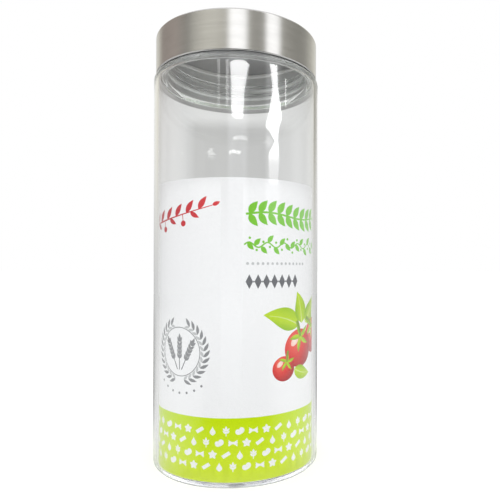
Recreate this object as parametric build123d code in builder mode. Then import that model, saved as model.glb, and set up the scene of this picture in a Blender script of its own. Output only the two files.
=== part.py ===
from build123d import *
import os

# Lidded glass canister: a screw-necked jar, a steel cap with a threaded liner, a sealing ring and a card label.
# It stands on the ring under its base, with the origin in the middle of that ring and +Z up. Millimetres.

# Glass jar
jar_diameter = 108.0  # outside of the straight body
shoulder_height = 248.9  # table to the flat top of the shoulder
glass_wall = 2.6
base_thickness = 2.6  # table to the inside floor
punt_depth = 0.8  # how far the middle of the underside is pushed up
bearing_width = 6.0  # the ring that the jar stands on
heel_radius = 2.4  # outside round between body and bearing ring
floor_radius = 1.0  # inside round between wall and floor
shoulder_radius = 3.7  # outside round of the shoulder
shoulder_thickness = 2.1  # glass under the shoulder, beside the neck
shoulder_fall = 1.2  # how much lower the shoulder's underside is at the body's wall
shoulder_inner_radius = 2.2  # rounds at both ends of that underside
shoulder_step = 5.3  # outside of the body to the outside of the neck
neck_wall = 2.6
neck_height = 20.5  # flat of the shoulder to the lip
lip_radius = 1.0

# Screw thread, right-handed, the same ridge on the glass and on the liner
thread_pitch = 6.0
thread_depth = 1.4
thread_root_width = 2.6
thread_crest_width = 1.2
thread_rise = 6.6  # flat of the shoulder to the middle of the thread's lower end
jar_thread_turns = 1.75
liner_thread_turns = 1.25
thread_bite = 0.5  # how far a ridge runs on into its wall
thread_clearance = 0.35  # between the two threads, along the radius and along the axis

# Cap
ring_thickness = 2.0
ring_overhang = 1.1  # how far the sealing ring reaches in past the lip
ring_clearance = 0.4  # sealing ring to the liner's wall
ring_edge_radius = 0.4
liner_wall = 1.7
liner_disc_thickness = 1.5
liner_edge_radius = 1.2
liner_clearance = 0.1  # glue film between the liner and the shell
steel_thickness = 0.5
cap_edge_radius = 1.5  # outside round of the cap's top
hem_clearance = 0.4  # shoulder to the cap's hem
hem_width = 1.2  # the rim rolled inwards, round the liner's foot
hem_height = 1.8
hem_radius = 0.55
foot_rise = 0.05  # bottom of the hem to the bottom of the liner

# Card label, curled inside the glass
label_height = 174.4
label_thickness = 0.4
label_gap = 12.0  # opening between the card's two edges, at the back

# Radii and heights that follow from the sizes above
body_outer = jar_diameter / 2
body_inner = body_outer - glass_wall
neck_outer = body_outer - shoulder_step
neck_inner = neck_outer - neck_wall
shoulder_under = shoulder_height - shoulder_thickness
neck_root_radius = (shoulder_step - shoulder_radius) * 0.9
lip_height = shoulder_height + neck_height
bearing_outer = body_outer - heel_radius
bearing_inner = bearing_outer - bearing_width

jar_thread_crest = neck_outer + thread_depth
liner_inner = jar_thread_crest + thread_clearance
liner_thread_crest = liner_inner - thread_depth
liner_outer = liner_inner + liner_wall
shell_inner = liner_outer + liner_clearance
shell_outer = shell_inner + steel_thickness

ring_top = lip_height + ring_thickness
liner_top = ring_top + liner_disc_thickness
cap_top = liner_top + steel_thickness
hem_bottom = shoulder_height + hem_clearance
hem_top = hem_bottom + hem_height
foot_bottom = hem_bottom + foot_rise
foot_outer = shell_outer - hem_width - liner_clearance

# The liner's ridge lies just under the ridge on the glass, so that turning the cap pulls it down.
thread_overlap = jar_thread_crest - liner_thread_crest
flank_slope = (thread_root_width - thread_crest_width) / (2 * thread_depth)
thread_offset = thread_crest_width + flank_slope * thread_overlap + thread_clearance
jar_thread_start = shoulder_height + thread_rise
liner_thread_start = jar_thread_start - thread_offset

# The card stands on the flat of the floor, just inside the round that leads up to the wall.
label_outer = body_inner - floor_radius
label_inner = label_outer - label_thickness


def ridge_section(root_radius, crest_radius, middle):
    """Cross-section of one thread ridge, beside the axis; its root runs on into the wall."""
    buried_radius = root_radius + thread_bite * (1 if root_radius > crest_radius else -1)
    root_half = thread_root_width / 2
    crest_half = thread_crest_width / 2
    with BuildSketch(Plane.XZ) as ridge:
        with BuildLine():
            Polyline(
                (buried_radius, middle - root_half),
                (root_radius, middle - root_half),
                (crest_radius, middle - crest_half),
                (crest_radius, middle + crest_half),
                (root_radius, middle + root_half),
                (buried_radius, middle + root_half),
                close=True,
            )
        make_face()
    return ridge.sketch


def thread_path(start, turns):
    """Right-handed helix that a ridge follows, from its lower end up."""
    with BuildLine() as path:
        Helix(thread_pitch, thread_pitch * turns, neck_outer, center=(0, 0, start))
    return path.line


# Jar: one revolved wall from the underside round to the floor, with the thread on its neck
with BuildPart() as jar_body:
    with BuildSketch(Plane.XZ):
        with BuildLine():
            FilletPolyline(
                (0, punt_depth),
                (bearing_inner - punt_depth, punt_depth),
                (bearing_inner, 0),
                (body_outer, 0),
                (body_outer, shoulder_height),
                (neck_outer, shoulder_height),
                (neck_outer, lip_height),
                (neck_inner, lip_height),
                (neck_inner, shoulder_under),
                (body_inner, shoulder_under - shoulder_fall),
                (body_inner, base_thickness),
                (0, base_thickness),
                radius=[
                    0,
                    punt_depth,
                    punt_depth,
                    heel_radius,
                    shoulder_radius,
                    neck_root_radius,
                    lip_radius,
                    lip_radius,
                    shoulder_inner_radius,
                    shoulder_inner_radius,
                    floor_radius,
                    0,
                ],
                close=True,
            )
        make_face()
    revolve(axis=Axis.Z)
    sweep(
        ridge_section(neck_outer, jar_thread_crest, jar_thread_start),
        path=thread_path(jar_thread_start, jar_thread_turns),
        is_frenet=True,
    )

# Steel shell of the cap, drawn in one piece, with its rim rolled in
with BuildPart() as lid_shell:
    with BuildSketch(Plane.XZ):
        with BuildLine():
            FilletPolyline(
                (0, cap_top),
                (shell_outer, cap_top),
                (shell_outer, hem_bottom),
                (shell_outer - hem_width, hem_bottom),
                (shell_outer - hem_width, hem_top),
                (shell_inner, hem_top),
                (shell_inner, liner_top),
                (0, liner_top),
                radius=[
                    0,
                    cap_edge_radius,
                    hem_radius,
                    hem_radius,
                    0,
                    0,
                    cap_edge_radius - steel_thickness,
                    0,
                ],
                close=True,
            )
        make_face()
    revolve(axis=Axis.Z)

# Threaded liner that fills the shell, resting on the rolled rim, with its foot inside that rim
with BuildPart() as lid_liner:
    with BuildSketch(Plane.XZ):
        with BuildLine():
            FilletPolyline(
                (0, ring_top),
                (liner_inner, ring_top),
                (liner_inner, foot_bottom),
                (foot_outer, foot_bottom),
                (foot_outer, hem_top),
                (liner_outer, hem_top),
                (liner_outer, liner_top),
                (0, liner_top),
                radius=[0, 0, 0, 0, 0, 0, liner_edge_radius, 0],
                close=True,
            )
        make_face()
    revolve(axis=Axis.Z)
    sweep(
        ridge_section(liner_inner, liner_thread_crest, liner_thread_start),
        path=thread_path(liner_thread_start, liner_thread_turns),
        is_frenet=True,
    )

# Soft ring between the lip and the liner
with BuildPart() as sealing_ring:
    with BuildSketch(Plane.XZ):
        with BuildLine():
            FilletPolyline(
                (neck_inner - ring_overhang, lip_height),
                (liner_inner - ring_clearance, lip_height),
                (liner_inner - ring_clearance, ring_top),
                (neck_inner - ring_overhang, ring_top),
                radius=ring_edge_radius,
                close=True,
            )
        make_face()
    revolve(axis=Axis.Z)

# Printed card curled against the inside of the glass, open at the back
with BuildPart() as label_insert:
    with BuildSketch(Plane.XY.offset(base_thickness)):
        Circle(label_outer)
        Circle(label_inner, mode=Mode.SUBTRACT)
        with Locations((0, label_outer)):
            Rectangle(label_gap, label_outer, mode=Mode.SUBTRACT)
    extrude(amount=label_height)

os.makedirs("parts", exist_ok=True)
pieces = {
    "jar_body": jar_body,
    "lid_shell": lid_shell,
    "lid_liner": lid_liner,
    "sealing_ring": sealing_ring,
    "label_insert": label_insert,
}
for node, piece in pieces.items():
    piece.part.label = node
    export_step(piece.part, f"parts/{node}.step")
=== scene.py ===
from math import ceil, cos, exp, hypot, pi, radians, sin, tan

import bmesh
import bpy
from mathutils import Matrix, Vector, noise
from mathutils.geometry import delaunay_2d_cdt


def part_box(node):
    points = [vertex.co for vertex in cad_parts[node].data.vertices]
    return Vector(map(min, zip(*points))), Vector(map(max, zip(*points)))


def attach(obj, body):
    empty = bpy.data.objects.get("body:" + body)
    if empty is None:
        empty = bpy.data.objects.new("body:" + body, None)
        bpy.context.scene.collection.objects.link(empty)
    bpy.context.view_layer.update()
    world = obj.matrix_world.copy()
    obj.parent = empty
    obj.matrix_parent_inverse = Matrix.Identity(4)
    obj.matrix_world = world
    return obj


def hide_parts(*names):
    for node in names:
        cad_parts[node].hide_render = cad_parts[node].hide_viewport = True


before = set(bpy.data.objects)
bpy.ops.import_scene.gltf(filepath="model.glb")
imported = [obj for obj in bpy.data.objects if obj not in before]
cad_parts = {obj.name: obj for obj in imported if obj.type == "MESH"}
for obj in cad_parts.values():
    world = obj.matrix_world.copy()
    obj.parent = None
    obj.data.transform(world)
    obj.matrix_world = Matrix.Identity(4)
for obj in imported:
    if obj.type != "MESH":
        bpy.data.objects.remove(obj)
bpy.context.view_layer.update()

# Lidded glass canister: clear jar, steel cap with a threaded liner, sealing ring, and a printed card inside.
# Lengths are in metres, in the CAD frame: +Z up, the front of the label towards -Y.

MM = 0.001

# Sizes read from the frame
_, jar_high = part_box("jar_body")
shell_low, shell_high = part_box("lid_shell")
liner_low, liner_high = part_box("lid_liner")
ring_low, ring_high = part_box("sealing_ring")
label_low, label_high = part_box("label_insert")

body_outer = jar_high.x
lip_height = jar_high.z
shell_outer = shell_high.x
cap_top = shell_high.z
hem_bottom = shell_low.z
liner_outer = liner_high.x
liner_bottom = liner_low.z
liner_top = liner_high.z
ring_outer = ring_high.x
ring_bottom = ring_low.z
ring_top = ring_high.z
label_outer = label_high.x
label_bottom = label_low.z
label_height = label_high.z - label_low.z

# Sizes that the boxes do not show, as in the solids
glass_wall = 2.6 * MM
base_thickness = 2.6 * MM
punt_depth = 0.8 * MM
bearing_width = 6.0 * MM
heel_radius = 2.4 * MM
floor_radius = 1.0 * MM
shoulder_height = 248.9 * MM
shoulder_radius = 3.7 * MM
shoulder_thickness = 2.1 * MM
shoulder_fall = 1.2 * MM
shoulder_inner_radius = 2.2 * MM
shoulder_step = 5.3 * MM
neck_wall = 2.6 * MM
neck_root_radius = (shoulder_step - shoulder_radius) * 0.9
lip_radius = 1.0 * MM
thread_pitch = 6.0 * MM
thread_depth = 1.4 * MM
thread_root_width = 2.6 * MM
thread_crest_width = 1.2 * MM
thread_clearance = 0.35 * MM
jar_thread_start = shoulder_height + 6.6 * MM
jar_thread_turns = 1.75
liner_thread_turns = 1.25
liner_wall = 1.7 * MM
steel_thickness = 0.5 * MM
cap_edge_radius = 1.5 * MM
liner_edge_radius = 1.2 * MM
liner_clearance = 0.1 * MM
hem_width = 1.2 * MM
hem_height = 1.8 * MM
hem_radius = 0.55 * MM
ring_overhang = 1.1 * MM
ring_edge_radius = 0.4 * MM
label_thickness = 0.4 * MM
label_gap = 12.0 * MM

body_inner = body_outer - glass_wall
neck_outer = body_outer - shoulder_step
neck_inner = neck_outer - neck_wall
shoulder_under = shoulder_height - shoulder_thickness
bearing_inner = body_outer - heel_radius - bearing_width
shell_inner = shell_outer - steel_thickness
liner_inner = liner_outer - liner_wall
flank_slope = (thread_root_width - thread_crest_width) / (2 * thread_depth)
thread_overlap = neck_outer + 2 * thread_depth - liner_inner
thread_offset = thread_crest_width + flank_slope * thread_overlap + thread_clearance
liner_thread_start = jar_thread_start - thread_offset
hem_top = hem_bottom + hem_height
foot_outer = shell_outer - hem_width - liner_clearance
label_half = pi * label_outer - label_gap / 2

# Camera, from the photograph's perspective
PHOTO_SIDE = 500
FOCAL_PIXELS = 499.4
CAMERA_DISTANCE = 337.7 * MM
CAMERA_HEIGHT = 126.1 * MM
CAMERA_YAW = 0.1084
CAMERA_ROLL = -0.0028
AXIS_PIXEL_X = 236.9
HORIZON_PIXEL_Y = 266.6
SENSOR_WIDTH = 36.0

# Meshes
RING_SEGMENTS = 256
ARC_STEP = radians(9)
THREAD_RUN_OUT = radians(28)  # turn over which a thread's ridge grows at its ends
SAME_LENGTH = 1e-6
CUT_TOLERANCE = 1e-7

GLASS_BOUNCES = 128


# Mesh helpers


def turned(vector, angle):
    """A 2-D vector turned by an angle."""
    c, s = cos(angle), sin(angle)
    return Vector((vector.x * c - vector.y * s, vector.x * s + vector.y * c))


def rounded_outline(corners, closed=False):
    """Points (r, z) along corners given as (r, z, fillet radius, longest step on the run that follows)."""
    count = len(corners)
    spots = [Vector(c[:2]) for c in corners]
    trimmed = []
    for i, corner in enumerate(corners):
        fillet = corner[2]
        end = not closed and i in (0, count - 1)
        if fillet == 0 or end:
            trimmed.append([spots[i]])
            continue
        before = (spots[i - 1] - spots[i]).normalized()
        after = (spots[(i + 1) % count] - spots[i]).normalized()
        half = before.angle(after) / 2
        centre = spots[i] + (before + after).normalized() * (fillet / sin(half))
        start = spots[i] + before * (fillet / tan(half)) - centre
        finish = spots[i] + after * (fillet / tan(half)) - centre
        sweep = start.angle_signed(finish)
        pieces = max(2, ceil(abs(sweep) / ARC_STEP))
        trimmed.append([centre + turned(start, -sweep * k / pieces) for k in range(pieces + 1)])
    points = []
    for i in range(count):
        points += trimmed[i]
        if i == count - 1 and not closed:
            break
        last, following = trimmed[i][-1], trimmed[(i + 1) % count][0]
        pieces = max(1, ceil((following - last).length / corners[i][3]))
        points += [last.lerp(following, k / pieces) for k in range(1, pieces)]
    return [(p.x, p.y) for p in points]


def lathe(name, outline, closed=False, radius_at=None):
    """Object made by turning an outline about Z; radius_at(angle, r, z) may change a point's radius."""
    bm = bmesh.new()
    rows = []
    for r, z in outline:
        if r < SAME_LENGTH:
            rows.append([bm.verts.new((0, 0, z))])
            continue
        row = []
        for k in range(RING_SEGMENTS):
            angle = 2 * pi * k / RING_SEGMENTS
            radius = radius_at(angle, r, z) if radius_at else r
            row.append(bm.verts.new((radius * cos(angle), radius * sin(angle), z)))
        rows.append(row)
    pairs = list(zip(rows, rows[1:]))
    if closed:
        pairs.append((rows[-1], rows[0]))
    for low, high in pairs:
        for k in range(RING_SEGMENTS):
            n = (k + 1) % RING_SEGMENTS
            if len(low) == 1:
                bm.faces.new((low[0], high[n], high[k]))
            elif len(high) == 1:
                bm.faces.new((low[k], low[n], high[0]))
            else:
                bm.faces.new((low[k], low[n], high[n], high[k]))
    bmesh.ops.recalc_face_normals(bm, faces=bm.faces)
    return finished_object(name, bm)


def finished_object(name, bm):
    """Smooth-shaded object from a bmesh."""
    mesh = bpy.data.meshes.new(name)
    for face in bm.faces:
        face.smooth = True
    bm.to_mesh(mesh)
    bm.free()
    piece = bpy.data.objects.new(name, mesh)
    bpy.context.scene.collection.objects.link(piece)
    return piece


def place(piece, material, body, node):
    """Gives a piece its material and lets it stand for a CAD node on a body."""
    piece.data.materials.append(material)
    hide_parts(node)
    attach(piece, body)


def smooth(value, low, high):
    """0 below low, 1 above high, eased in between."""
    t = min(1.0, max(0.0, (value - low) / (high - low)))
    return t * t * (3 - 2 * t)


def thread_height(angle, z, start, turns):
    """How far a right-handed thread's ridge stands out of its wall at one place."""
    best = 0.0
    for lap in range(ceil(turns) + 1):
        along = angle + 2 * pi * lap
        if along > 2 * pi * turns:
            break
        away = abs(z - start - thread_pitch * along / (2 * pi))
        flank = (thread_root_width / 2 - away) / (thread_root_width / 2 - thread_crest_width / 2)
        ends = smooth(along, 0, THREAD_RUN_OUT) * smooth(2 * pi * turns - along, 0, THREAD_RUN_OUT)
        best = max(best, thread_depth * smooth(flank, 0, 1) * ends)
    return best


def wave(angle, z, turn, rise, offset):
    """Slow unevenness, 0 to 1, at one place on a wall; turn and rise set its scale round and up it."""
    return 0.5 + 0.5 * noise.noise(Vector((turn * cos(angle) + offset, turn * sin(angle), z / rise)))


# Pieces


def glass_jar():
    """Jar wall from the underside out, up, over the lip and down to the floor, a little uneven."""
    wall_step, flat_step, round_step, neck_step = 2.5 * MM, 4.0 * MM, 0.5 * MM, 0.3 * MM
    outline = rounded_outline(
        [
            (0, punt_depth, 0, flat_step),
            (bearing_inner - punt_depth, punt_depth, punt_depth, flat_step),
            (bearing_inner, 0, punt_depth, flat_step),
            (body_outer, 0, heel_radius, wall_step),
            (body_outer, shoulder_height, shoulder_radius, round_step),
            (neck_outer, shoulder_height, neck_root_radius, neck_step),
            (neck_outer, lip_height, lip_radius, round_step),
            (neck_inner, lip_height, lip_radius, neck_step * 3),
            (neck_inner, shoulder_under, shoulder_inner_radius, round_step),
            (body_inner, shoulder_under - shoulder_fall, shoulder_inner_radius, wall_step),
            (body_inner, base_thickness, floor_radius, flat_step),
            (0, base_thickness, 0, flat_step),
        ]
    )
    outer_wave, inner_wave = 0.05 * MM, 0.14 * MM

    def radius_at(angle, r, z):
        if abs(r - neck_outer) < SAME_LENGTH and z > shoulder_height:
            return r + thread_height(angle, z, jar_thread_start, jar_thread_turns)
        if r > body_outer - shoulder_radius:
            share = smooth(r, body_outer - shoulder_radius, body_outer)
            return r - share * outer_wave * wave(angle, z, 2.21, 45 * MM, 0.0)
        if z < shoulder_under - shoulder_fall:
            share = smooth(r, body_inner - floor_radius, body_inner)
            return r + share * inner_wave * wave(angle, z, 2.72, 35 * MM, 3.1)
        return r

    return lathe("glass_jar", outline, radius_at=radius_at)


def cap_shell():
    """Steel cap: flat top, rounded edge, straight skirt and a rim rolled in."""
    step, fine, crease, corner = 3.0 * MM, 0.5 * MM, 0.15 * MM, 0.1 * MM
    outline = rounded_outline(
        [
            (0, cap_top, 0, step),
            (shell_outer, cap_top, cap_edge_radius, fine),
            (shell_outer, hem_bottom, hem_radius, fine),
            (shell_outer - hem_width, hem_bottom, hem_radius, fine),
            (shell_outer - hem_width, hem_top, crease, fine),
            (shell_inner, hem_top, corner, step),
            (shell_inner, liner_top, cap_edge_radius - steel_thickness, step),
            (0, liner_top, 0, step),
        ]
    )
    return lathe("cap_shell", outline)


def cap_liner():
    """Grey threaded insert that fills the cap; its foot reaches down inside the rolled rim."""
    step, fine = 3.0 * MM, 0.3 * MM
    ceiling_radius, foot_radius, corner = 0.2 * MM, 0.3 * MM, 0.1 * MM
    outline = rounded_outline(
        [
            (0, ring_top, 0, step),
            (liner_inner, ring_top, ceiling_radius, fine),
            (liner_inner, liner_bottom, foot_radius, fine),
            (foot_outer, liner_bottom, foot_radius, fine),
            (foot_outer, hem_top, corner, fine),
            (liner_outer, hem_top, corner, step),
            (liner_outer, liner_top, liner_edge_radius, step),
            (0, liner_top, 0, step),
        ]
    )

    def radius_at(angle, r, z):
        if abs(r - liner_inner) < SAME_LENGTH:
            return r - thread_height(angle, z, liner_thread_start, liner_thread_turns)
        return r

    return lathe("cap_liner", outline, radius_at=radius_at)


def seal():
    """Soft flat ring on the lip."""
    inside, step = neck_inner - ring_overhang, 0.5 * MM
    outline = rounded_outline(
        [
            (inside, ring_bottom, ring_edge_radius, step),
            (ring_outer, ring_bottom, ring_edge_radius, step),
            (ring_outer, ring_top, ring_edge_radius, step),
            (inside, ring_top, ring_edge_radius, step),
        ],
        closed=True,
    )
    return lathe("seal_ring", outline, closed=True)


# Materials


def empty_material(name):
    """Material with an empty node tree and its output."""
    material = bpy.data.materials.new(name)
    material.use_nodes = True
    tree = material.node_tree
    tree.nodes.clear()
    return material, tree, add_node(tree, "OutputMaterial")


def new_material(name):
    """Material with a Principled shader on its output."""
    material, tree, output = empty_material(name)
    shader = add_node(tree, "BsdfPrincipled")
    set_inputs(tree, output, Surface=shader.outputs[0])
    return material, tree, shader, output


def feed(tree, socket, value):
    """Links an input to another socket, or sets it to a plain value."""
    if isinstance(value, bpy.types.NodeSocket):
        tree.links.new(value, socket)
    else:
        socket.default_value = value


def set_inputs(tree, node, **inputs):
    """Feeds some of a node's inputs; an underscore stands for a space in an input's name."""
    for key, value in inputs.items():
        feed(tree, node.inputs[key.replace("_", " ")], value)
    return node


def add_node(tree, kind, **inputs):
    """New node with some of its inputs fed."""
    return set_inputs(tree, tree.nodes.new("ShaderNode" + kind), **inputs)


def fill(tree, node, *values):
    """Feeds a node's inputs in order."""
    for socket, value in zip(node.inputs, values):
        feed(tree, socket, value)
    return node


def object_place(tree):
    """A socket with the place on the object."""
    return add_node(tree, "TexCoord").outputs["Object"]


def mapped(tree, value, low, high, from_low=0.0, from_high=1.0, easing="LINEAR"):
    """A value socket moved from one range to another, and kept within it."""
    made = add_node(tree, "MapRange", Value=value, From_Min=from_low, From_Max=from_high)
    made.interpolation_type = easing
    return set_inputs(tree, made, To_Min=low, To_Max=high).outputs["Result"]


def maths(tree, operation, *values):
    """A sum, product and so on of sockets and plain numbers."""
    made = add_node(tree, "Math")
    made.operation = operation
    return fill(tree, made, *values).outputs[0]


def ramp_node(tree, value, stops):
    """Colour ramp through (position, colour) stops."""
    made = add_node(tree, "ValToRGB", Fac=value)
    ramp = made.color_ramp
    while len(ramp.elements) < len(stops):
        ramp.elements.new(0.5)
    for element, (position, colour) in zip(ramp.elements, stops):
        element.position = position
        element.color = (*colour[:3], 1)
    return made.outputs["Color"]


def blended(tree, share, first, second):
    """Colour between two colours or sockets."""
    made = add_node(tree, "Mix")
    made.data_type = "RGBA"
    # The Mix node's colours are its inputs 6 and 7 and its output 2.
    for index, value in ((0, share), (6, first), (7, second)):
        feed(tree, made.inputs[index], value)
    return made.outputs[2]


def combined(tree, operation, *values):
    """Node that adds, multiplies or measures colours or vectors."""
    made = add_node(tree, "VectorMath")
    made.operation = operation
    return fill(tree, made, *values)


def stretched_noise(tree, scale, detail, spot=None):
    """Noise at a spot, or else in object space, with its own scale along each axis."""
    spot = object_place(tree) if spot is None else spot
    mapping = add_node(tree, "Mapping", Vector=spot, Scale=scale)
    return add_node(tree, "TexNoise", Vector=mapping.outputs[0], Scale=1.0, Detail=detail).outputs["Fac"]


def axis_distance(tree):
    """A socket with the distance from the object's axis."""
    flat = add_node(tree, "Mapping", Vector=object_place(tree), Scale=(1, 1, 0))
    return combined(tree, "LENGTH", flat.outputs[0]).outputs["Value"]


def profile_noise(tree, around, along, detail):
    """Noise drawn out round the axis and fine along a turned piece's profile, on its sides and its flats."""
    parts = add_node(tree, "SeparateXYZ", Vector=object_place(tree))
    run = maths(tree, "ADD", axis_distance(tree), parts.outputs["Z"])
    spot = add_node(tree, "CombineXYZ", X=parts.outputs["X"], Y=parts.outputs["Y"], Z=run)
    return stretched_noise(tree, (around, around, along), detail, spot.outputs[0])


def surface(tree, shader, tone, level, grain, rough, bump, depth):
    """Gives a shader a colour at a level, and the roughness and bumps of a grain."""
    shade = add_node(tree, "HueSaturation", Color=tone, Value=level)
    bumps = add_node(tree, "Bump", Height=grain, Strength=bump, Distance=depth)
    rough = mapped(tree, grain, *rough, 0.3, 0.7)
    set_inputs(tree, shader, Base_Color=shade.outputs[0], Roughness=rough, Normal=bumps.outputs[0])


def clear_glass():
    """Clear soda glass with faint handling marks; lamps shine through it on what is inside."""
    material, tree, shader, output = new_material("clear_glass")
    marks = stretched_noise(tree, (60, 60, 30), 4.0)
    rough = mapped(tree, marks, 0.0, 0.035, 0.5, 0.8)
    set_inputs(tree, shader, Base_Color=(0.985, 0.99, 0.987, 1), Roughness=rough)
    set_inputs(tree, shader, Transmission_Weight=1.0, IOR=1.5)
    path = add_node(tree, "LightPath")
    passes = maths(tree, "MAXIMUM", path.outputs["Is Shadow Ray"], path.outputs["Is Diffuse Ray"])
    passing = add_node(tree, "BsdfTransparent", Color=(0.97, 0.975, 0.972, 1))
    mix = fill(tree, add_node(tree, "MixShader"), passes, shader.outputs[0], passing.outputs[0])
    absorb = add_node(tree, "VolumeAbsorption", Color=(0.84, 0.87, 0.855, 1), Density=7.0)
    set_inputs(tree, output, Surface=mix.outputs[0], Volume=absorb.outputs[0])
    return material


def brushed_steel():
    """Stainless steel brushed round its axis: rings on the top and fine level lines on the skirt."""
    material, tree, shader, _ = new_material("brushed_steel")
    tangent = add_node(tree, "Tangent")
    tangent.direction_type = "RADIAL"
    tangent.axis = "Z"
    set_inputs(tree, shader, Metallic=1.0, Tangent=tangent.outputs[0])
    set_inputs(tree, shader, Anisotropic=0.75, Anisotropic_Rotation=0.25)
    grain = profile_noise(tree, 30, 6500, 3.0)
    wear = mapped(tree, profile_noise(tree, 55, 260, 2.0), 0.97, 1.03, 0.3, 0.7)
    tone = ramp_node(tree, grain, [(0.3, (0.6, 0.595, 0.585)), (0.7, (0.68, 0.675, 0.665))])
    surface(tree, shader, tone, wear, grain, (0.22, 0.27), 0.012, 0.1 * MM)
    return material


def moulded(name, tones, rough, grain_scale):
    """Moulded plastic or rubber with a fine grain; tones are (distance from the axis, colour)."""
    material, tree, shader, _ = new_material(name)
    limit = tones[-1][0]
    reach = mapped(tree, axis_distance(tree), 0.0, 1.0, 0.0, limit)
    tone = ramp_node(tree, reach, [(r / limit, colour) for r, colour in tones])
    cloud = mapped(tree, stretched_noise(tree, (40, 40, 40), 2.0), 0.9, 1.1, 0.35, 0.65)
    grain = stretched_noise(tree, (grain_scale,) * 3, 3.0)
    surface(tree, shader, tone, cloud, grain, (rough - 0.06, rough + 0.06), 0.12, 0.1 * MM)
    return material


def grey_plastic():
    """Plastic of the liner: thread and wall paler than the ceiling, whose dark tone is painted shade; a
    painted highlight along the thread's crest; and painted shade, near black, on the foot in the joint under
    the rolled rim.
    """
    # Painted light: the dark ceiling and the near-black foot are painted shade, the pale crest is a painted
    # highlight.
    shaded_ceiling, highlit_crest = (0.21, 0.21, 0.215), (0.74, 0.74, 0.735)
    wall, foot = (0.62, 0.62, 0.62), (0.03, 0.03, 0.03)
    crest_reach = liner_inner - thread_depth
    tones = [
        (0, shaded_ceiling),
        (crest_reach - 1.5 * MM, shaded_ceiling),
        # Painted highlight: the crest of the thread is paler than the wall.
        (crest_reach - 0.4 * MM, highlit_crest),
        (crest_reach + 0.4 * MM, highlit_crest),
        (liner_inner - 0.3 * MM, wall),
        (liner_inner, wall),
        # Painted shade from here out: the foot under the rolled rim is near black.
        (liner_inner + 0.2 * MM, foot),
        (liner_outer, foot),
    ]
    return moulded("grey_plastic", tones, 0.45, 900)


def silicone():
    """Pale soft rubber of the sealing ring."""
    pale = (0.64, 0.64, 0.63)
    return moulded("silicone", [(0, pale), (ring_outer, pale)], 0.5, 700)


def printed_card():
    """Coated white card; the print's colours are on the mesh, with fibre and ink mottle from nodes."""
    material, tree, shader, _ = new_material("printed_card")
    set_inputs(tree, shader, Specular_IOR_Level=0.05)
    ink = add_node(tree, "VertexColor")
    ink.layer_name = "print"
    mottle = mapped(tree, stretched_noise(tree, (900, 900, 900), 3.0), 0.97, 1.03, 0.3, 0.7)
    fibre = stretched_noise(tree, (2600, 2600, 700), 4.0)
    surface(tree, shader, ink.outputs["Color"], mottle, fibre, (0.38, 0.55), 0.08, 0.05 * MM)
    return material


# Label: flat shapes in millimetres, u along the card from its front middle and v up from its lower edge


def srgb(red, green, blue):
    """Linear colour from the usual 0 to 255 numbers."""
    shares = (c / 255 for c in (red, green, blue))
    return tuple(c / 12.92 if c < 0.04045 else ((c + 0.055) / 1.055) ** 2.4 for c in shares)


PAPER = (0.92, 0.915, 0.935)
WHITE_INK = (0.9, 0.91, 0.9)
LIME_TOP, LIME_LOW = srgb(198, 227, 0), srgb(216, 236, 62)
GREEN, PALE_GREEN = srgb(116, 194, 22), srgb(150, 214, 112)
RED, DARK_RED = srgb(214, 36, 48), srgb(176, 18, 38)
PALE_GREY, MID_GREY, DARK_GREY = srgb(196, 197, 199), srgb(140, 141, 144), srgb(104, 105, 110)
BASIL_LIGHT, BASIL_DARK = srgb(194, 222, 22), srgb(112, 172, 12)
TOMATO_LIGHT, TOMATO, TOMATO_DARK = srgb(244, 104, 84), srgb(222, 38, 34), srgb(158, 12, 20)
SHINE, STALK = srgb(255, 236, 226), srgb(126, 158, 44)


def mixed(first, second, share):
    """Colour between two, share 0 to 1."""
    t = min(1.0, max(0.0, share))
    return tuple(a + (b - a) * t for a, b in zip(first, second))


def flat_ink(colour):
    """Ink of one colour all over."""
    return lambda u, v: colour


def run_ink(first, second, start, end):
    """Ink that goes from one colour to another between two points."""
    along = Vector(end) - Vector(start)

    def colour(u, v):
        return mixed(first, second, (Vector((u, v)) - Vector(start)).dot(along) / along.length_squared)

    return colour


def ball_ink(u0, v0, radius, light, middle, dark):
    """Ink of a round fruit lit from its upper left."""

    def colour(u, v):
        away = hypot(u - u0 + 0.34 * radius, v - v0 - 0.38 * radius) / radius
        return mixed(mixed(light, middle, away / 0.75), dark, (away - 0.7) / 0.75)

    return colour


def leaf_ink(u0, v0, heading, width, light, dark):
    """Ink of a leaf: pale along its midrib, one half in shade."""
    across = Vector((-sin(radians(heading)), cos(radians(heading))))

    def colour(u, v):
        side = (Vector((u, v)) - Vector((u0, v0))).dot(across) / (width / 2)
        return mixed(light, dark, 0.15 + 0.75 * side if side > 0 else -0.4 * side)

    return colour


def on_circle(u, v, radius, angle):
    """Point on a circle, angle in degrees."""
    return u + radius * cos(radians(angle)), v + radius * sin(radians(angle))


def bow(start, via, end, steps):
    """Points along a curve from start to end, drawn towards via."""
    a, b, c = Vector(start), Vector(via), Vector(end)
    return [tuple(a.lerp(b, k / steps).lerp(b.lerp(c, k / steps), k / steps)) for k in range(steps + 1)]


def leaf(u, v, length, width, heading, bend=0.0, blunt=0.8, steps=9):
    """Outline of a leaf from its stalk end; heading and bend are in degrees."""
    left, right = [], []
    spot = Vector((u, v))
    for k in range(steps + 1):
        angle = radians(heading + bend * k / steps)
        along = Vector((cos(angle), sin(angle)))
        off = Vector((-along.y, along.x)) * (width / 2 * sin(pi * (k / steps) ** blunt))
        left.append(tuple(spot + off))
        right.append(tuple(spot - off))
        spot = spot + along * (length / steps)
    return right + left[-2:0:-1]


def oval(u, v, across, high, turn=0.0, points=24):
    """Outline of an ellipse."""
    c, s = cos(radians(turn)), sin(radians(turn))
    angles = [2 * pi * k / points for k in range(points)]
    ring = [(across / 2 * cos(a), high / 2 * sin(a)) for a in angles]
    return [(u + x * c - y * s, v + x * s + y * c) for x, y in ring]


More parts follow.
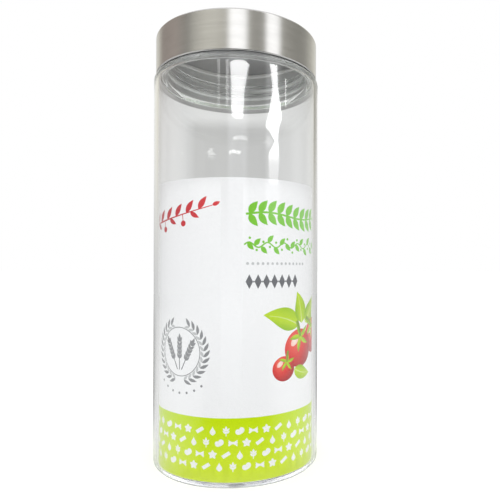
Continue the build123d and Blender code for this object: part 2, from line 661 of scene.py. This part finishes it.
def stroke(path, width, end_width=None):
    """Outline of a line along a path, its width going to end_width."""
    last = len(path) - 1
    end_width = width if end_width is None else end_width
    left, right = [], []
    for k, spot in enumerate(path):
        along = (Vector(path[min(k + 1, last)]) - Vector(path[max(k - 1, 0)])).normalized()
        off = Vector((-along.y, along.x)) * ((width + (end_width - width) * k / last) / 2)
        left.append(tuple(Vector(spot) + off))
        right.append(tuple(Vector(spot) - off))
    return right + left[::-1]


def polygon_area(outline):
    """Signed area, positive when the points run anticlockwise."""
    pairs = zip(outline, outline[1:] + outline[:1])
    return sum(a[0] * b[1] - b[0] * a[1] for a, b in pairs) / 2


def pictogram(kind, u, v, size):
    """Outlines of one small food sign: wheat, bean, bow, drop, tube or flower."""
    if kind == "wheat":
        parts = [stroke([(0, -0.55), (0, 0.15)], 0.1), leaf(0, 0.12, 0.44, 0.24, 90)]
        for row in (-0.26, 0.0):
            parts += [leaf(0.03, row, 0.46, 0.22, 42), leaf(-0.03, row, 0.46, 0.22, 138)]
    elif kind == "bean":
        ring = []
        for k in range(24):
            angle = 2 * pi * k / 24
            reach = 0.43 * (1 + 0.2 * cos(2 * angle)) * (1 - 0.42 * exp(-(((angle - pi / 2) / 0.42) ** 2)))
            ring.append((reach * cos(angle + 0.5), reach * sin(angle + 0.5)))
        parts = [ring]
    elif kind == "bow":
        half = [(-0.52, 0.36), (-0.44, 0.2), (-0.52, 0.07), (-0.44, -0.07), (-0.52, -0.2), (-0.46, -0.36)]
        parts = [half + [(-0.1, -0.12)] + [(-x, y) for x, y in [(-0.1, -0.12)] + half[::-1]]]
        parts[0] += [(0.1, 0.12), (-0.1, 0.12)]
    elif kind == "drop":
        parts = [leaf(0, 0.52, 1.04, 0.66, -90, blunt=1.7)]
    elif kind == "tube":
        parts = [[(-0.52, -0.1), (-0.28, -0.42), (0.52, 0.1), (0.28, 0.42)]]
    else:
        parts = [leaf(0, 0, 0.52, 0.34, 90 + 72 * k, blunt=0.9) for k in range(5)]
    return [[(u + size * x, v + size * y) for x, y in part] for part in parts]


SIGNS = ("wheat", "bean", "bow", "flower", "tube", "drop")


def band_print(half):
    """Lime band round the foot of the card, with staggered rows of white food signs."""
    top, across, size, margin = 36.9, 7.7, 5.2, 4.0
    rows = (29.6, 22.8, 16.0, 9.2)
    lime = run_ink(LIME_LOW, LIME_TOP, (0, 0), (0, top))
    yield [(-half, 0), (half, 0), (half, top), (-half, top)], lime
    count = int(2 * (half - margin) / across)
    for row, v in enumerate(rows):
        first = -across * (count - 1) / 2 + (across / 4 if row % 2 else -across / 4)
        for k in range(count):
            kind = SIGNS[(k + 2 * row) % len(SIGNS)]
            for part in pictogram(kind, first + across * k, v, size):
                yield part, flat_ink(WHITE_INK)


def garland_print(u0, u1, v0):
    """Green garland of leaves, paler towards its end."""
    steps, sway, waves = 28, 1.3, 1.1
    shares = [k / steps for k in range(steps + 1)]
    stem = [(u0 + (u1 - u0) * share, v0 + sway * sin(2 * pi * waves * share)) for share in shares]
    fade = run_ink(GREEN, PALE_GREEN, (u0, v0), (u1, v0))
    yield stroke(stem, 1.3, 0.9), fade
    for u, v in stem[1:steps:3]:
        for side in (1, -1):
            yield leaf(u, v, 8.8, 4.3, side * 66, -side * 24), fade
    yield leaf(*stem[-1], 8.0, 4.2, 4), fade


def row_prints(u0):
    """Smaller rows under the garland: a green vine, pale dots, dark lozenges."""
    vine_height, dots_height, lozenges_height = 136.0, 125.2, 114.8
    length, sway, wave_length = 66, 1.5, 11
    vine = [(u0 + k, vine_height + sway * sin(2 * pi * k / wave_length)) for k in range(length + 1)]
    fade = run_ink(GREEN, PALE_GREEN, vine[0], vine[-1])
    yield stroke(vine, 0.9, 0.6), fade
    for number, (u, v) in enumerate(vine[2:length:4]):
        side = 1 if number % 2 else -1
        yield leaf(u, v, 5.6, 2.9, side * 58, -side * 20), fade
        yield oval(u + 1.2, v - side * 2.6, 1.5, 1.5, points=10), fade
    for k in range(14):
        yield oval(u0 + 2 + 3.0 * k, dots_height, 1.7, 1.7, points=12), flat_ink(PALE_GREY)
    lozenges, lozenge_step = 7, 5.1
    for k in range(lozenges):
        u = u0 + 3 + lozenge_step * k
        yield oval(u, lozenges_height, 4.2, 8.4, points=4), flat_ink(DARK_GREY)
        if k < lozenges - 1:
            yield oval(u + lozenge_step / 2, lozenges_height, 1.1, 1.1, points=10), flat_ink(MID_GREY)


def berry_print():
    """Red sprig with leaves and berries."""
    fade = run_ink(DARK_RED, RED, (-68, 150), (-12, 156))
    stem = bow((-69, 149), (-42, 151), (-14, 158.5), 20)
    yield stroke(stem, 1.1, 0.5), fade
    for k, (u, v) in enumerate(stem[2:19]):
        if k % 3 == 0:
            yield leaf(u, v, 9.0, 3.6, 64, -18), fade
        elif k % 6 == 1:
            yield leaf(u, v, 7.0, 2.8, -38, 16), fade
        elif k % 6 == 5:
            tip = (u + 0.6, v - 5.4)
            yield stroke(bow((u, v), (u + 0.2, v - 2), tip, 4), 0.5), fade
            yield oval(*tip, 3.6, 3.6, points=16), fade
    yield leaf(*stem[-1], 5.0, 2.4, 24), fade


def wreath_print(u0, v0):
    """Grey wreath with three ears of wheat inside and a row of dots underneath."""
    ring, inside, leaves_reach, dots_reach = 29.0, 28.0, 16.6, 24.2
    ink = flat_ink(MID_GREY)
    yield oval(u0, v0, ring, ring, points=64), ink
    yield oval(u0, v0, inside, inside, points=64), flat_ink(PAPER)
    for k in range(13):
        for side in (1, -1):
            angle = -90 + side * (12 + 11.8 * k)
            seat = on_circle(u0, v0, leaves_reach, angle)
            yield leaf(*seat, 5.8, 1.9, angle + side * 46, side * 20), ink
            yield leaf(*seat, 4.0, 1.6, angle + side * 128, -side * 14), flat_ink(PALE_GREY)
    for tilt in (-26, 0, 26):
        heading = 90 - tilt
        foot = Vector((u0 + 0.06 * tilt, v0 - 10.5))
        along = Vector(on_circle(0, 0, 1, heading))
        yield stroke([tuple(foot), tuple(foot + along * 15)], 0.63, 0.45), flat_ink(DARK_GREY)
        for k in range(5):
            seat = foot + along * (6.5 + 2.4 * k)
            for side in (1, -1):
                yield leaf(*seat, 3.6, 1.7, heading + side * 32), ink
        yield leaf(*(foot + along * 17), 4.2, 1.8, heading), ink
    for k in range(-3, 4):
        yield oval(*on_circle(u0, v0, dots_reach, -90 + 13 * k), 1.5, 1.5, points=10), ink


def tomato(u, v, size, heading):
    """One tomato with its star of sepals and stalk."""
    radius, squash = size / 2, 0.93
    rings = [oval(u, v, size * share, size * share * squash) for share in (0.25, 0.5, 0.75)]
    ink = ball_ink(u, v, radius, TOMATO_LIGHT, TOMATO, TOMATO_DARK)
    yield oval(u, v, size, size * squash, points=48), ink, [spot for ring in rings for spot in ring]
    shine = (u - 0.36 * radius, v + 0.36 * radius)
    glow = ball_ink(u - 0.02 * radius, v - 0.02 * radius, radius, SHINE, TOMATO_LIGHT, TOMATO)
    yield oval(*shine, 0.62 * radius, 0.36 * radius, 40, 16), glow, [shine]
    top = on_circle(u, v, 0.55 * radius, heading)
    for k in range(5):
        turn = heading + 72 * k + 20
        sepal = leaf(*top, 0.78 * radius, 0.24 * radius, turn, 24)
        yield sepal, leaf_ink(*top, turn, 0.3 * radius, BASIL_LIGHT, BASIL_DARK)
    tip = on_circle(u, v, 1.35 * radius, heading + 14)
    stalk = bow(top, (top[0], top[1] + 0.3 * radius), tip, 6)
    yield stroke(stalk, 0.13 * radius, 0.18 * radius), flat_ink(STALK)


def basil(u, v, length, width, heading, bend):
    """One basil leaf with a pale midrib and veins."""
    steps = 14
    ink = leaf_ink(u, v, heading + bend / 2, width, BASIL_LIGHT, BASIL_DARK)
    yield leaf(u, v, length, width, heading, bend, 0.72, steps), ink
    rib = [(u, v)]
    for k in range(steps - 2):
        rib.append(on_circle(*rib[-1], length / steps, heading + bend * k / (steps - 1)))
    vein_ink = flat_ink(mixed(BASIL_LIGHT, BASIL_DARK, 0.2))
    for k in (3, 5, 7, 9):
        for side in (1, -1):
            reach = width * (0.4 - 0.02 * abs(k - 5))
            end = on_circle(*rib[k], reach, heading + bend * k / (steps - 1) + side * 42)
            yield stroke([rib[k], end], 0.34, 0.12), vein_ink
    yield stroke(rib, 0.7, 0.2), flat_ink(mixed(BASIL_LIGHT, WHITE_INK, 0.35))


def produce_print(u, v):
    """Tomatoes and basil leaves."""
    yield from basil(u + 3, v + 12, 27, 13.5, 152, 26)
    yield from basil(u + 6, v + 13, 20, 11, 92, 24)
    yield from basil(u + 10, v + 13, 21, 11, 44, 12)
    yield from tomato(u + 22, v + 4, 24, 118)
    yield from tomato(u + 4, v - 2, 25, 84)
    yield from tomato(u - 9, v - 13, 16, 60)
    yield from basil(u - 1, v - 14, 17, 8.5, -30, 30)


def chart_print(u, v):
    """Back panel: food signs in rings, three across and four down."""
    column_step, row_step, ring, inside, sign = 17.5, 18.5, 14.6, 13.6, 8.0
    ink = flat_ink(mixed(GREEN, MID_GREY, 0.3))
    for row in range(4):
        for column in range(3):
            spot = (u + column_step * (column - 1), v + row_step * (1.5 - row))
            yield oval(*spot, ring, ring, points=36), flat_ink(PALE_GREY)
            yield oval(*spot, inside, inside, points=36), flat_ink(PAPER)
            kind = SIGNS[(column + 3 * row + row // 2) % len(SIGNS)]
            for part in pictogram(kind, *spot, sign):
                yield part, ink


def print_shapes():
    """Every printed area, lowest first, as (outline, ink) with any points wanted inside."""
    yield from band_print(label_half / MM)
    yield from garland_print(5, 60, 153.6)
    yield from row_prints(4)
    yield from berry_print()
    yield from wreath_print(-35.5, 73.5)
    yield from produce_print(38, 76)
    for middle in (-114, 114):
        yield from chart_print(middle, 112)
        yield from garland_print(middle - 24, middle + 16, 60)


def label_card():
    """Curled card, its outer face cut along the print's edges so that each ink area has its own colour."""
    line_step = 2.0 * MM
    lines = ceil(2 * label_half / line_step)
    spots, edges = [], []
    for k in range(lines + 1):
        u = -label_half + 2 * label_half * k / lines
        spots += [Vector((u, 0)), Vector((u, label_height))]
        edges.append((len(spots) - 2, len(spots) - 1))
    faces = [[0, 2 * lines, 2 * lines + 1, 1]]
    inks = [flat_ink(PAPER)]
    for outline, ink, *inside in print_shapes():
        if polygon_area(outline) < 0:
            outline = outline[::-1]
        first = len(spots)
        spots += [Vector((u * MM, v * MM)) for u, v in outline]
        faces.append(list(range(first, first + len(outline))))
        inks.append(ink)
        spots += [Vector((u * MM, v * MM)) for points in inside for u, v in points]
    cut, _, triangles, _, _, origins = delaunay_2d_cdt(spots, edges, faces, 1, CUT_TOLERANCE)
    bm = bmesh.new()
    layer = bm.loops.layers.float_color.new("print")

    def bent(radius):
        turns = [(p.x / label_outer, label_bottom + p.y) for p in cut]
        return [bm.verts.new((radius * sin(a), -radius * cos(a), z)) for a, z in turns]

    outer, inner = bent(label_outer), bent(label_outer - label_thickness)
    for corner_ids, found in zip(triangles, origins):
        face = bm.faces.new([outer[i] for i in corner_ids])
        back = bm.faces.new([inner[i] for i in reversed(corner_ids)])
        ink = inks[max(found, default=0)]
        for loop, i in zip(face.loops, corner_ids):
            loop[layer] = (*ink(cut[i].x / MM, cut[i].y / MM), 1)
        for loop in back.loops:
            loop[layer] = (*PAPER, 1)
    twin = dict(zip(outer, inner))
    rim = [tuple(e.verts) for e in bm.edges if len(e.link_faces) == 1 and e.verts[0] in twin]
    for a, b in rim:
        face = bm.faces.new((a, b, twin[b], twin[a]))
        for loop in face.loops:
            loop[layer] = (*PAPER, 1)
    bmesh.ops.recalc_face_normals(bm, faces=bm.faces)
    return finished_object("label_card", bm)


# Studio

# What the steel and glass mirror all round the room: azimuth in degrees, brightness, tint
PLAIN, ROSE, OLIVE = (1.0, 1.0, 1.0), (1.0, 0.87, 0.78), (1.0, 0.975, 0.87)
ROOM_TONES = [
    (-180, 1.4, PLAIN),
    (-173, 1.4, PLAIN),
    (-168, 0.85, PLAIN),
    (-142, 0.8, OLIVE),
    (-124, 0.36, ROSE),
    (-93, 0.46, ROSE),
    (-71, 0.33, OLIVE),
    (-61, 0.58, OLIVE),
    (-43, 0.8, OLIVE),
    (-30, 0.8, OLIVE),
    (-14.5, 0.62, OLIVE),
    (-9, 1.75, PLAIN),
    (9.5, 1.7, PLAIN),
    (16, 0.46, OLIVE),
    (24, 0.4, OLIVE),
    (36.8, 0.4, OLIVE),
    (41, 1.7, PLAIN),
    (57, 1.7, PLAIN),
    (63, 0.46, OLIVE),
    (76, 0.39, OLIVE),
    (94, 0.33, OLIVE),
    (109, 0.37, OLIVE),
    (122, 0.56, OLIVE),
    (142, 0.8, OLIVE),
    (166, 0.85, PLAIN),
    (171, 1.4, PLAIN),
    (180, 1.4, PLAIN),
]

# What shows through clear glass, repeated round the room: share of one repeat, brightness
GLASS_REPEATS = 8
GLASS_TONES = [(0.0, 0.56), (0.15, 0.57), (0.2, 0.77), (0.3, 0.8), (0.5, 0.84)]
GLASS_TONES += [(0.75, 0.78), (0.825, 0.7), (0.85, 0.59), (0.95, 0.56), (1.0, 0.56)]

# How those tones change with height: height on the wall, their share, and an even tone added to them
GLASS_RISE = [
    (0.0, 0.0, 0.82),
    (0.4, 1.0, 0.0),
    (0.76, 1.0, 0.0),
    (0.81, 0.0, 0.81),
    (0.9, 0.0, 0.81),
    (0.97, 0.5, 0.0),
    (2.6, 0.4, 0.0),
]

# A dim post that darkens one edge of the glass: azimuth in degrees, share of the tone left
DARK_POST = [(137, 1.0), (139, 0.35), (161, 0.35), (164, 1.0)]
LOW_EDGE_SHARE = 1.4  # the glass's edges are brighter low down

ROOM_RADIUS = 2.0
ROOM_HEIGHT = 2.6
ROOM_SIDES = 96
BANDS_FULL_HEIGHT = 0.9  # the bands fade in from the floor up to here
AMBIENT = 1.0
WORLD_THROUGH_GLASS = 0.5

FLOOR_REACH = 12.0
FLOOR_ALBEDO = 0.5
LOW_TONE = FLOOR_ALBEDO * AMBIENT
FLOOR_TO_CAMERA = 1.06
FLOOR_GLOW = 0.35  # for what is neither seen, mirrored nor behind glass
# Tone of the floor near the jar and far off in mirrors, and where it starts and stops changing
FLOOR_FRONT = (0.05, 0.36, 0.15, 1.4)
FLOOR_SIDE = (1.0, 0.36, 0.3, 1.4)
FLOOR_THROUGH_GLASS = 0.72
# Light that comes up into the curled card through the bottom of the glass, out to a distance from the axis
TABLE_GLOW = (1.8, 0.0, 0.05, 0.053)

# Rays turned back inside one wall of the jar cross two faces; those that pass right through it cross four.
FACES_CROSSED = 2.5


def grey(level):
    """Colour of one even tone."""
    return (level, level, level, 1)


def seen(tree, camera, mirror, glass, rest):
    """A socket with a level for each kind of ray: from the camera, mirrored, through glass, and the rest."""
    path = add_node(tree, "LightPath")
    total = rest
    # A ray that has gone through glass counts as a glossy one too, so its step starts from the mirror's.
    steps = {
        "Is Camera Ray": camera - rest,
        "Is Glossy Ray": mirror - rest,
        "Is Transmission Ray": glass - mirror,
    }
    for name, step in steps.items():
        total = maths(tree, "MULTIPLY_ADD", path.outputs[name], step, total)
    return total


def floor_tone(tree, path, reach):
    """A socket with the floor's tone: plain, or as mirrors show it, or as it is seen through the glass."""
    parts = add_node(tree, "SeparateXYZ", Vector=object_place(tree))
    sideways = maths(tree, "DIVIDE", maths(tree, "ABSOLUTE", parts.outputs["X"]), reach)
    beside = mapped(tree, sideways, 0.0, 1.0, 0.6, 0.95)
    mirrored = blended(tree, beside, mapped(tree, reach, *FLOOR_FRONT), mapped(tree, reach, *FLOOR_SIDE))
    tone = blended(tree, path.outputs["Is Glossy Ray"], grey(FLOOR_ALBEDO), mirrored)
    # The near front stays dim in the mirror of the jar's inner face.
    facing = mapped(tree, maths(tree, "DIVIDE", parts.outputs["Y"], reach), 1.0, 0.0, -0.9, -0.6)
    past_jar = mapped(tree, reach, 0.0, 1.0, 0.065, 0.085)
    near = maths(tree, "MULTIPLY", past_jar, mapped(tree, reach, 1.0, 0.0, 0.2, 0.8))
    turned_back = maths(tree, "LESS_THAN", path.outputs["Transmission Depth"], FACES_CROSSED)
    dim = maths(tree, "MULTIPLY", maths(tree, "MULTIPLY", facing, near), turned_back)
    undimmed = maths(tree, "SUBTRACT", 1.0, dim)
    through = maths(tree, "MULTIPLY", path.outputs["Is Transmission Ray"], undimmed)
    return blended(tree, through, tone, grey(FLOOR_THROUGH_GLASS))


def pale_floor():
    """Floor that is white to the camera and keeps the object's shadow."""
    bm = bmesh.new()
    signs = ((-1, -1), (1, -1), (1, 1), (-1, 1))
    bm.faces.new([bm.verts.new((x * FLOOR_REACH, y * FLOOR_REACH, 0)) for x, y in signs])
    floor = finished_object("floor", bm)
    material, tree, output = empty_material("pale_floor")
    path = add_node(tree, "LightPath")
    reach = axis_distance(tree)
    diffuse = add_node(tree, "BsdfDiffuse", Color=floor_tone(tree, path, reach))
    level = seen(tree, FLOOR_TO_CAMERA - LOW_TONE, 0.0, 0.0, FLOOR_GLOW)
    table = mapped(tree, reach, *TABLE_GLOW)
    level = maths(tree, "MULTIPLY_ADD", table, path.outputs["Is Diffuse Ray"], level)
    glow = add_node(tree, "Emission", Strength=level)
    both = fill(tree, add_node(tree, "AddShader"), diffuse.outputs[0], glow.outputs[0])
    set_inputs(tree, output, Surface=both.outputs[0])
    floor.data.materials.append(material)


def white_world():
    """White surroundings for what is seen, and a plain ambient light for the rest."""
    world = bpy.data.worlds.new("surroundings")
    world.use_nodes = True
    tree = world.node_tree
    tree.nodes.clear()
    output = add_node(tree, "OutputWorld")
    strength = seen(tree, 1.0, 1.0, WORLD_THROUGH_GLASS, AMBIENT)
    back = add_node(tree, "Background", Color=(1, 1, 1, 1), Strength=strength)
    set_inputs(tree, output, Surface=back.outputs[0])
    bpy.context.scene.world = world


def by_azimuth(tree, share, stops):
    """Colour ramp through (azimuth in degrees, colour) stops, from a share of the way round the room."""
    return ramp_node(tree, share, [(azimuth / 360 + 0.5, colour) for azimuth, colour in stops])


def by_height(tree, z, stops):
    """Colour ramp through (height, level) stops on the room's wall."""
    share = mapped(tree, z, 0.0, 1.0, 0.0, ROOM_HEIGHT)
    return ramp_node(tree, share, [(height / ROOM_HEIGHT, grey(level)) for height, level in stops])


def room_light(tree):
    """A socket with the wall's colour: in mirrors, in the glass's edges, or right through the glass."""
    place_of = object_place(tree)
    turn = add_node(tree, "Mapping", Vector=place_of, Rotation=(0, 0, radians(90)))
    around = add_node(tree, "TexGradient", Vector=turn.outputs[0])
    around.gradient_type = "RADIAL"
    share = around.outputs["Fac"]
    z = add_node(tree, "SeparateXYZ", Vector=place_of).outputs["Z"]
    rise = mapped(tree, z, 0.0, 1.0, 0.0, BANDS_FULL_HEIGHT, "SMOOTHSTEP")

    bands = by_azimuth(tree, share, [(a, [level * c for c in tint]) for a, level, tint in ROOM_TONES])
    mirrored = blended(tree, rise, grey(LOW_TONE), bands)

    post = by_azimuth(tree, share, [(a, grey(left)) for a, left in DARK_POST])
    edge_share = blended(tree, rise, grey(LOW_EDGE_SHARE), post)
    edge = combined(tree, "MULTIPLY", mirrored, edge_share).outputs[0]

    repeat = maths(tree, "FRACT", maths(tree, "MULTIPLY", share, GLASS_REPEATS))
    tones = ramp_node(tree, repeat, [(p, grey(level)) for p, level in GLASS_TONES])
    tones_share = by_height(tree, z, [(height, part) for height, part, _ in GLASS_RISE])
    even = by_height(tree, z, [(height, level) for height, _, level in GLASS_RISE])
    behind = combined(tree, "MULTIPLY_ADD", tones, tones_share, even).outputs[0]

    path = add_node(tree, "LightPath")
    colour = blended(tree, path.outputs["Is Transmission Ray"], mirrored, edge)
    crossed = maths(tree, "GREATER_THAN", path.outputs["Transmission Depth"], FACES_CROSSED)
    return blended(tree, crossed, colour, behind)


def room_wall():
    """Round wall that only mirrors and clear glass show: its bands make the steel and glass read."""
    bm = bmesh.new()
    angles = [2 * pi * k / ROOM_SIDES for k in range(ROOM_SIDES)]
    ring = [(ROOM_RADIUS * cos(a), ROOM_RADIUS * sin(a)) for a in angles]
    low, high = ([bm.verts.new((x, y, z)) for x, y in ring] for z in (0.0, ROOM_HEIGHT))
    for k in range(ROOM_SIDES):
        n = (k + 1) % ROOM_SIDES
        bm.faces.new((low[k], low[n], high[n], high[k]))
    wall = finished_object("room_wall", bm)
    material, tree, output = empty_material("room_wall")
    glow = add_node(tree, "Emission", Color=room_light(tree))
    set_inputs(tree, output, Surface=glow.outputs[0])
    wall.data.materials.append(material)
    wall.visible_camera = wall.visible_diffuse = False
    wall.visible_shadow = wall.visible_volume_scatter = False


# Outlines of the strip lamps: share of the height, middle and half of the width as shares of it, brightness
EVEN_STRIP = [(0.0, 0.5, 0.42, 0.6), (0.12, 0.5, 0.42, 0.8), (0.6, 0.5, 0.42, 0.85), (1.0, 0.5, 0.44, 1.0)]
LEANING_STRIP = [
    (0.0, 0.5, 0.12, 0.7),
    (0.08, 0.44, 0.24, 0.9),
    (0.2, 0.435, 0.285, 1.0),
    (0.48, 0.44, 0.3, 0.95),
    (0.64, 0.465, 0.33, 0.95),
    (0.8, 0.5, 0.37, 0.95),
    (1.0, 0.525, 0.45, 1.0),
]
WAVY_STRIP = [
    (0.0, 0.48, 0.27, 0.2),
    (0.1, 0.48, 0.3, 0.25),
    (0.2, 0.49, 0.33, 0.3),
    (0.28, 0.49, 0.33, 0.7),
    (0.33, 0.57, 0.2, 1.0),
    (0.38, 0.64, 0.09, 1.0),
    (0.445, 0.53, 0.22, 1.0),
    (0.52, 0.4, 0.42, 0.9),
    (0.59, 0.56, 0.42, 0.95),
    (0.67, 0.59, 0.33, 1.0),
    (0.82, 0.56, 0.16, 1.0),
    (1.0, 0.45, 0.22, 1.0),
]

# Lamps: name, azimuth, elevation, width and height in degrees, radiance
LAMP_DISTANCE = 2.4
LAMPS = [("key", 24, 34, 44, 40, 1.05), ("fill", -62, 30, 36, 36, 0.48)]
# Strip lamps mirrored in the near face of the glass, and others in its far wall
STRIP_DISTANCE = 1.5
NEAR_STRIPS = [
    ("strip_front", 2.1, 19.6, 26.0, 7.2, 17.0, LEANING_STRIP),
    ("strip_right", 49.5, 15.4, 23.0, 15.2, 18.0, WAVY_STRIP),
    ("strip_thin", 67, 19.6, 2.4, 3.4, 11.0, EVEN_STRIP),
    ("strip_left", -13, 20.4, 4.0, 6.0, 6.0, EVEN_STRIP),
    ("strip_far_left", -24, 20.4, 4.0, 6.0, 4.0, EVEN_STRIP),
]
FAR_STRIPS = [
    ("sparkle_front", 4, 13.9, 22.0, 0.5, 7.0, EVEN_STRIP),
    ("sparkle_right", 43, 13.4, 18.0, 1.7, 3.0, WAVY_STRIP),
]
LAMP_TARGET = Vector((0, 0, 0.2))


def direction(azimuth, elevation):
    """Unit vector from the jar: azimuth 0 is towards the camera, 90 to its right."""
    a, e = radians(azimuth), radians(elevation)
    return Vector((sin(a) * cos(e), -cos(a) * cos(e), sin(e)))


def lamp(name, azimuth, elevation, width, height, radiance, distance):
    """Rectangular lamp facing the jar, that neither mirrors nor glass show."""
    light = bpy.data.lights.new(name, "AREA")
    light.shape = "RECTANGLE"
    light.size = 2 * distance * tan(radians(width / 2))
    light.size_y = 2 * distance * tan(radians(height / 2))
    light.energy = radiance * pi * light.size * light.size_y
    made = bpy.data.objects.new(name, light)
    made.location = LAMP_TARGET + direction(azimuth, elevation) * distance
    made.rotation_euler = (made.location - LAMP_TARGET).to_track_quat("Z", "Y").to_euler()
    made.visible_camera = made.visible_transmission = made.visible_glossy = False
    bpy.context.scene.collection.objects.link(made)
    return made


def streak(row, glass, far):
    """Strip lamp with soft wandering edges, mirrored only by the near face of the glass or its far wall."""
    *place_and_level, outline = row
    made = lamp(*place_and_level, STRIP_DISTANCE)
    made.visible_diffuse = False
    made.visible_transmission = far
    made.visible_glossy = not far
    made.light_linking.receiver_collection = glass
    made.data.use_nodes = True
    tree = made.data.node_tree
    spot = add_node(tree, "NewGeometry").outputs["Parametric"]
    across, up, _ = add_node(tree, "SeparateXYZ", Vector=spot).outputs
    shape = ramp_node(tree, up, [(share, values) for share, *values in outline])
    middle, half, brightness = add_node(tree, "SeparateXYZ", Vector=shape).outputs
    away = maths(tree, "ABSOLUTE", maths(tree, "SUBTRACT", across, middle))
    inside = mapped(tree, maths(tree, "SUBTRACT", half, away), 0.0, 1.0, -0.04, 0.06)
    foot = mapped(tree, up, 0.0, 1.0, 0.0, 0.05)
    level = maths(tree, "MULTIPLY", maths(tree, "MULTIPLY", inside, foot), brightness)
    tree.links.new(level, tree.nodes["Emission"].inputs["Color"])


def studio_lamps(jar):
    """Soft lamps for the light, and bright strips that only show as streaks on the glass."""
    for row in LAMPS:
        lamp(*row, LAMP_DISTANCE)
    glass = bpy.data.collections.new("streaked_glass")
    glass.objects.link(jar)
    for row in NEAR_STRIPS:
        streak(row, glass, far=False)
    for row in FAR_STRIPS:
        streak(row, glass, far=True)


def photo_camera():
    """Camera at the photograph's viewpoint, its optical axis to the right of the jar."""
    data = bpy.data.cameras.new("camera")
    data.sensor_width = SENSOR_WIDTH
    data.lens = FOCAL_PIXELS / PHOTO_SIDE * SENSOR_WIDTH
    centre_x = AXIS_PIXEL_X + FOCAL_PIXELS * tan(CAMERA_YAW)
    data.shift_x = (PHOTO_SIDE / 2 - centre_x) / PHOTO_SIDE
    data.shift_y = (HORIZON_PIXEL_Y - PHOTO_SIDE / 2) / PHOTO_SIDE
    data.clip_start = 0.01
    camera = bpy.data.objects.new("camera", data)
    camera.location = (0, -CAMERA_DISTANCE, CAMERA_HEIGHT)
    camera.rotation_euler = (radians(90), CAMERA_ROLL, -CAMERA_YAW)
    bpy.context.scene.collection.objects.link(camera)
    bpy.context.scene.camera = camera


def view_settings():
    """Plain colour, and enough bounces for thick glass edges, which pass light on many times over."""
    scene = bpy.context.scene
    scene.view_settings.view_transform = "Standard"
    scene.cycles.max_bounces = GLASS_BOUNCES
    scene.cycles.glossy_bounces = GLASS_BOUNCES
    scene.cycles.transmission_bounces = GLASS_BOUNCES


def build():
    """Places the five pieces and sets up the studio round them."""
    jar = glass_jar()
    place(jar, clear_glass(), "jar", "jar_body")
    place(cap_shell(), brushed_steel(), "lid", "lid_shell")
    place(cap_liner(), grey_plastic(), "lid", "lid_liner")
    place(seal(), silicone(), "seal", "sealing_ring")
    place(label_card(), printed_card(), "jar", "label_insert")
    pale_floor()
    white_world()
    room_wall()
    studio_lamps(jar)
    photo_camera()
    view_settings()


build()
